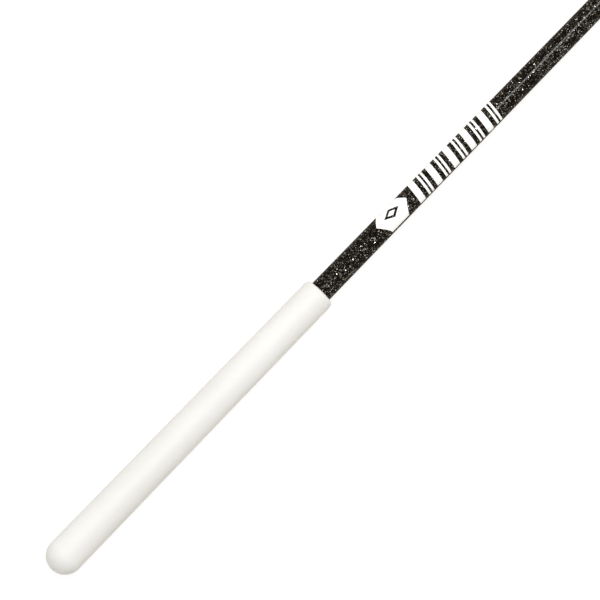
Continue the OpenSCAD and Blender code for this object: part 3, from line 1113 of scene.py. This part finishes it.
pin_ring = wire("pin_ring", upright(circle_path(pin_eye, EYE_RING)), PIN_R, ring=True)
pin_shank = shank("pin_shank", pin_eye, pin_start, PIN_R)
eye_pin_mesh = together("eye_pin", [pin_ring, pin_shank])
place_piece("eye_pin", eye_pin_mesh, "stick", "steel_wire", "tip_eye_pin")

# %% [markdown]
# ## The swivel
# Two headed eyes turn in a barrel. The barrel is turned brass with tapered ends and two rolled
# grooves, and it is hollow: each eye's neck comes in through an end, and a button inside holds it.

# %% Make the two eyes
SWIVEL_WIRE = 0.5 * MM
BUTTON_R = 1.2 * MM
BUTTON = 0.9 * MM
rear_start, rear_stop = ends("swivel_rear_eye")
front_start, front_stop = ends("swivel_front_eye")
rear_eye = rear_start + EYE_RING + SWIVEL_WIRE
front_eye = front_stop - EYE_RING - SWIVEL_WIRE
rear_ring = wire("rear_ring", circle_path(rear_eye, EYE_RING), SWIVEL_WIRE, ring=True)
rear_neck = shank("rear_neck", rear_eye, rear_stop, SWIVEL_WIRE, (BUTTON_R, rear_stop - BUTTON))
rear_mesh = together("rear_eye", [rear_ring, rear_neck])
place_piece("rear_swivel_eye", rear_mesh, "rear_eye", "steel_wire", "swivel_rear_eye")
front_ring = wire("front_ring", upright(circle_path(front_eye, EYE_RING)), SWIVEL_WIRE, ring=True)
front_neck = shank(
    "front_neck", front_eye, front_start, SWIVEL_WIRE, (BUTTON_R, front_start + BUTTON)
)
front_mesh = together("front_eye", [front_ring, front_neck])
place_piece("front_swivel_eye", front_mesh, "front_eye", "steel_wire", "swivel_front_eye")

# %% Turn the barrel
barrel_start, barrel_end = ends("swivel_barrel")
BARREL_R = 2.3 * MM
BARREL_WALL = 0.75 * MM
NECK_HOLE = 0.55 * MM
NECK_EDGE = 0.08 * MM
ROOM_R = 1.3 * MM
# places in mm from the mouth, and how far in mm below the barrel's full radius
CONE = [
    (0.0, 0.95), (0.03, 0.84), (0.09, 0.72), (0.2, 0.62), (0.45, 0.52),
    (1.3, 0.14), (1.45, 0.08), (1.6, 0.03), (1.8, 0.0),
]
GROOVE = arc(2.3, -0.3, 0.5, 127, 53, 8)


def barrel_half(start, way):
    """Outline from one mouth of the barrel to its middle."""
    return [(start + way * x * MM, BARREL_R - r * MM) for x, r in CONE + GROOVE]


outer = barrel_half(barrel_start, 1) + barrel_half(barrel_end, -1)[::-1]
inner = [
    (barrel_end, NECK_HOLE + NECK_EDGE),
    (barrel_end - NECK_EDGE, NECK_HOLE),
    (barrel_end - BARREL_WALL, NECK_HOLE),
    (barrel_end - BARREL_WALL, ROOM_R),
    (barrel_start + BARREL_WALL, ROOM_R),
    (barrel_start + BARREL_WALL, NECK_HOLE),
    (barrel_start + NECK_EDGE, NECK_HOLE),
    (barrel_start, NECK_HOLE + NECK_EDGE),
]
barrel_mesh = lathe("swivel_barrel_shell", outer + inner, nickel, steps=96, closed=True)
place_piece("swivel_barrel_shell", barrel_mesh, "barrel", "nickel_brass", "swivel_barrel")

# %% [markdown]
# ## The snap
# One spring wire makes the snap: a small bend through the swivel, a long leg, the wide bow that
# holds the ribbon, and an arm whose hook latches in the clasp. On the real snap the bow flexes to
# open it. The wire is made in two stretches that meet inside the clasp. The first rides on the
# snap.
# The second crosses the joint, so it is put on no body and stays where it is drawn, with the bend
# at the top of the bow that the real wire has.

# %% Bend the snap's wire
SNAP_WIRE = 0.45 * MM
BEND_R = 1.5 * MM
BOW_R = 3.2 * MM
HOOK_R = 1.0 * MM
HOOK_TIP = 1.3 * MM
LOOP_TAIL = 1.9 * MM
LEG_STRAIGHT = 0.4 * MM
BOW_STRAIGHT = 1.5 * MM
SEAM_BACK = 1.2 * MM
SEAM_GAP = 0.02 * MM
bend_x = ends("snap_wire")[0] + BEND_R + SNAP_WIRE
clasp_start, clasp_end = ends("snap_clasp")
bow_x = ends("snap_arm")[1] - BOW_R - SNAP_WIRE
hook_x = ends("snap_arm")[0] + SNAP_WIRE
seam_x = (clasp_start + clasp_end) / 2 - SEAM_BACK
loop_path = [(clasp_start + LOOP_TAIL, -BEND_R, 0), (bend_x + LEG_STRAIGHT, -BEND_R, 0)]
loop_path += bend(bend_x, 0, BEND_R, 270, 90, 24)
loop_path += [(bend_x + LEG_STRAIGHT, BEND_R, 0), (seam_x, BEND_R, 0)]
loop_mesh = wire("snap_loop", loop_path, SNAP_WIRE)
place_piece("snap_loop", loop_mesh, "snap", "steel_wire", "snap_wire")

step_r = (BOW_R - BEND_R) / 2
step_x = clasp_end + LEG_STRAIGHT
bow_path = [(seam_x + SEAM_GAP, BEND_R, 0), (clasp_end, BEND_R, 0)]
bow_path += bend(step_x, BEND_R + step_r, step_r, -90, 0, 8)
bow_path += bend(step_x + 2 * step_r, BOW_R - step_r, step_r, 180, 90, 8)[1:]
bow_path += [(bow_x - BOW_STRAIGHT, BOW_R, 0)]
bow_path += bend(bow_x, 0, BOW_R, 90, -90, 48)
bow_path += [(bow_x - BOW_STRAIGHT, -BOW_R, 0), (hook_x + 3 * HOOK_R, -BOW_R, 0)]
bow_path += bend(hook_x + HOOK_R, HOOK_R - BOW_R, HOOK_R, -90, -180, 10)
bow_path += [(hook_x, -HOOK_TIP, 0)]
bow_mesh = wire("snap_bow", bow_path, SNAP_WIRE)
snap_bow = place_piece("snap_bow", bow_mesh, None, "steel_wire", "snap_arm")
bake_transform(snap_bow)

# %% [markdown]
# ## The clasp
# The clasp is a strip of sheet metal, folded round both legs of the snap until its edges meet
# underneath, with a window on one side that the hook drops into. It is built the way it is made:
# a flat grid without the window's cells is folded into the outline, then gets its thickness and
# small bevels from modifiers.

# %% Fold the clasp
CLASP_R = 0.78 * MM
SHEET = 0.3 * MM
SEAM = 0.1 * MM
WINDOW_LENGTH = 2.15 * MM
WINDOW_HALF = 0.575 * MM
WINDOW_SIDE = 0.4 * MM
HOOK_ROOM = 0.7 * MM
TOUCH = 0.001 * MM
SHEET_EDGE = 0.05 * MM
window_low = hook_x - HOOK_ROOM
window_high = window_low + WINDOW_LENGTH
window_angle = math.degrees(math.asin(WINDOW_HALF / CLASP_R))


def clasp_outline():
    """Points across the folded strip, from one edge to the other, as (y, z)."""
    points = [(SEAM + (BEND_R - SEAM) * i / 4, -CLASP_R) for i in range(4)]
    for i in range(13):
        turn = math.radians(-90 + 180 * i / 12)
        points.append((BEND_R + CLASP_R * math.cos(turn), CLASP_R * math.sin(turn)))
    points += [(BEND_R - 2 * BEND_R * i / 6, CLASP_R) for i in range(1, 6)]
    turns = [90, 76, 62, window_angle, 24, 0, -24, -window_angle, -62, -76, -90]
    for turn in map(math.radians, turns):
        points.append((-BEND_R - CLASP_R * math.cos(turn), CLASP_R * math.sin(turn)))
    points += [(-BEND_R + (BEND_R - SEAM) * i / 4, -CLASP_R) for i in range(1, 5)]
    return points


def clasp_mesh():
    """The folded sheet with its window, thickened and with soft edges."""
    outline = clasp_outline()
    edge_z = WINDOW_HALF + TOUCH
    places = [clasp_start + (window_low - clasp_start) * i / 5 for i in range(5)]
    places += [window_low + (window_high - window_low) * i / 4 for i in range(4)]
    places += [window_high + (clasp_end - window_high) * i / 2 for i in range(3)]
    shape = bmesh.new()
    rows = [[shape.verts.new((x, y, z)) for y, z in outline] for x in places]
    for i, (near, far) in enumerate(zip(rows, rows[1:])):
        middle = (places[i] + places[i + 1]) / 2
        for k in range(len(outline) - 1):
            (y0, z0), (y1, z1) = outline[k], outline[k + 1]
            beside = max(y0, y1) < -BEND_R - WINDOW_SIDE
            cut = beside and max(abs(z0), abs(z1)) < edge_z
            if cut and window_low < middle < window_high:
                continue
            shape.faces.new((near[k], near[k + 1], far[k + 1], far[k]))
    mesh = bpy.data.meshes.new("clasp")
    shape.normal_update()
    top = max(shape.faces, key=lambda f: f.calc_center_median().z)
    if top.normal.z < 0:
        bmesh.ops.reverse_faces(shape, faces=shape.faces[:])
    shape.to_mesh(mesh)
    shape.free()
    folded = bpy.data.objects.new("clasp", mesh)
    scene.collection.objects.link(folded)
    thick = folded.modifiers.new("sheet", "SOLIDIFY")
    thick.thickness = SHEET
    thick.offset = -1
    soft = folded.modifiers.new("edges", "BEVEL")
    soft.width = SHEET_EDGE
    soft.segments = 2
    soft.limit_method = "ANGLE"
    soft.angle_limit = math.radians(50)
    seen = bpy.context.evaluated_depsgraph_get()
    made = bpy.data.meshes.new_from_object(folded.evaluated_get(seen), depsgraph=seen)
    bpy.data.objects.remove(folded)
    smooth(made, 50)
    made.materials.append(nickel)
    return made


place_piece("folded_clasp", clasp_mesh(), "snap", "nickel_brass", "snap_clasp")

# %% [markdown]
# ## Floor, light and camera
# The stick lies on a white table, on the round end of its grip. Under the tip, the table is laid
# just below the circle that the snap sweeps as the swivel spins, so no pose reaches into it and the
# ferrule is held a little above it. A lit table is never an even white. So the camera itself sees
# the table and the world as plain white, and only the stick is lit by their pale surfaces. The
# light comes mostly from above: a large softbox to the upper left, a second one beyond the print,
# whose reflection draws the bright line along the lacquer, and a pale world all round.

# %% Lay the table
SWEEP_GAP = 0.1 * MM
TABLE = 4.0
BOARD = (0.8, 0.765, 0.71, 1)
SEEN_BOARD = (0.12, 0.12, 0.12, 1)
SEEN_GLOW = 0.9


def points_of(node_name):
    """The places of a node's vertices."""
    return [v.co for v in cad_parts[node_name].data.vertices]


def table_z(x):
    """The table's height at a place along the stick."""
    return rest_a.z + table_slope * (x - rest_a.x)


snap_points = points_of("snap_wire") + points_of("snap_arm")
sweep_r = max(abs(p.y) for p in snap_points)
rest_a = min(points_of("grip_sleeve"), key=lambda p: p.z)
rest_b = Vector((max(p.x for p in snap_points), 0, -sweep_r - SWEEP_GAP))
table_slope = (rest_b.z - rest_a.z) / (rest_b.x - rest_a.x)
table_mesh = bpy.data.meshes.new("table")
corner_signs = ((-1, -1), (1, -1), (1, 1), (-1, 1))
table_corners = [(TABLE * i, TABLE * j, table_z(TABLE * i)) for i, j in corner_signs]
table_mesh.from_pydata(table_corners, [], [(0, 1, 2, 3)])
table = bpy.data.objects.new("table", table_mesh)
scene.collection.objects.link(table)
table_paint, table_shader = finish("white_table", Roughness=0.8, Specular_IOR_Level=0.1)
table_shader.inputs["Emission Color"].default_value = (1, 1, 1, 1)
seen_by_camera = node(table_paint, "ShaderNodeLightPath").outputs["Is Camera Ray"]
board = mix_colour(table_paint, seen_by_camera, BOARD, SEEN_BOARD)
link(table_paint, board, table_shader.inputs["Base Color"])
glow = math_node(table_paint, "MULTIPLY", seen_by_camera, SEEN_GLOW)
link(table_paint, glow, table_shader.inputs["Emission Strength"])
table_mesh.materials.append(table_paint)
print(f"table tilts {math.degrees(math.atan(table_slope)):.2f} degrees")
print(f"the snap sweeps a circle of {sweep_r / MM:.2f} mm radius")


# %% Light it
WORLD_COLOUR = (1.0, 0.975, 0.93, 1)
WORLD_LIGHT = 0.55
WORLD_SEEN = 1.1


def softbox(name, place, aim, width, height, radiance, colour=(1, 1, 1)):
    """A rectangular softbox whose face has the given radiance."""
    lamp = bpy.data.lights.new(name, "AREA")
    lamp.shape = "RECTANGLE"
    lamp.size, lamp.size_y = width, height
    lamp.energy = radiance * math.pi * width * height
    lamp.color = colour
    box = bpy.data.objects.new(name, lamp)
    box.location = place
    box.rotation_euler = (Vector(aim) - Vector(place)).to_track_quat("-Z", "Y").to_euler()
    box.visible_camera = False
    scene.collection.objects.link(box)
    print(f"{name}: {lamp.energy:.1f} W")


softbox("line_softbox", (0.68, 0.065, 1.5), (0.68, 0.065, 0), 0.7, 0.42, 21.0, (1.0, 0.985, 0.95))
softbox("left_softbox", (-0.55, 0.45, 1.9), (0.05, 0, 0), 1.2, 1.2, 2.9, (0.965, 0.99, 1.0))
world = bpy.data.worlds.new("studio")
world.use_nodes = True
backdrop = world.node_tree.nodes["Background"]
backdrop.inputs["Color"].default_value = WORLD_COLOUR
straight = world.node_tree.nodes.new("ShaderNodeLightPath").outputs["Is Camera Ray"]
strength = world.node_tree.nodes.new("ShaderNodeMapRange")
strength.inputs["To Min"].default_value = WORLD_LIGHT
strength.inputs["To Max"].default_value = WORLD_SEEN
world.node_tree.links.new(straight, strength.inputs["Value"])
world.node_tree.links.new(strength.outputs["Result"], backdrop.inputs["Strength"])
scene.world = world
scene.view_settings.view_transform = "Standard"

# %% Set the camera
AZIMUTH, ELEVATION = math.radians(-46.2), math.radians(81.7)
LOOK_AT = Vector((0.0448, 0.00235, 0.0))
DISTANCE = 2.0
LENS = 464
toward = Vector((
    math.sin(AZIMUTH) * math.cos(ELEVATION),
    -math.cos(AZIMUTH) * math.cos(ELEVATION),
    math.sin(ELEVATION),
))
camera_data = bpy.data.cameras.new("camera")
camera_data.lens = LENS
camera_data.clip_end = 50
camera = bpy.data.objects.new("camera", camera_data)
camera.location = LOOK_AT + toward * DISTANCE
camera.rotation_euler = (-toward).to_track_quat("-Z", "Y").to_euler()
scene.collection.objects.link(camera)
scene.camera = camera
print("camera at", [round(v, 3) for v in camera.location])
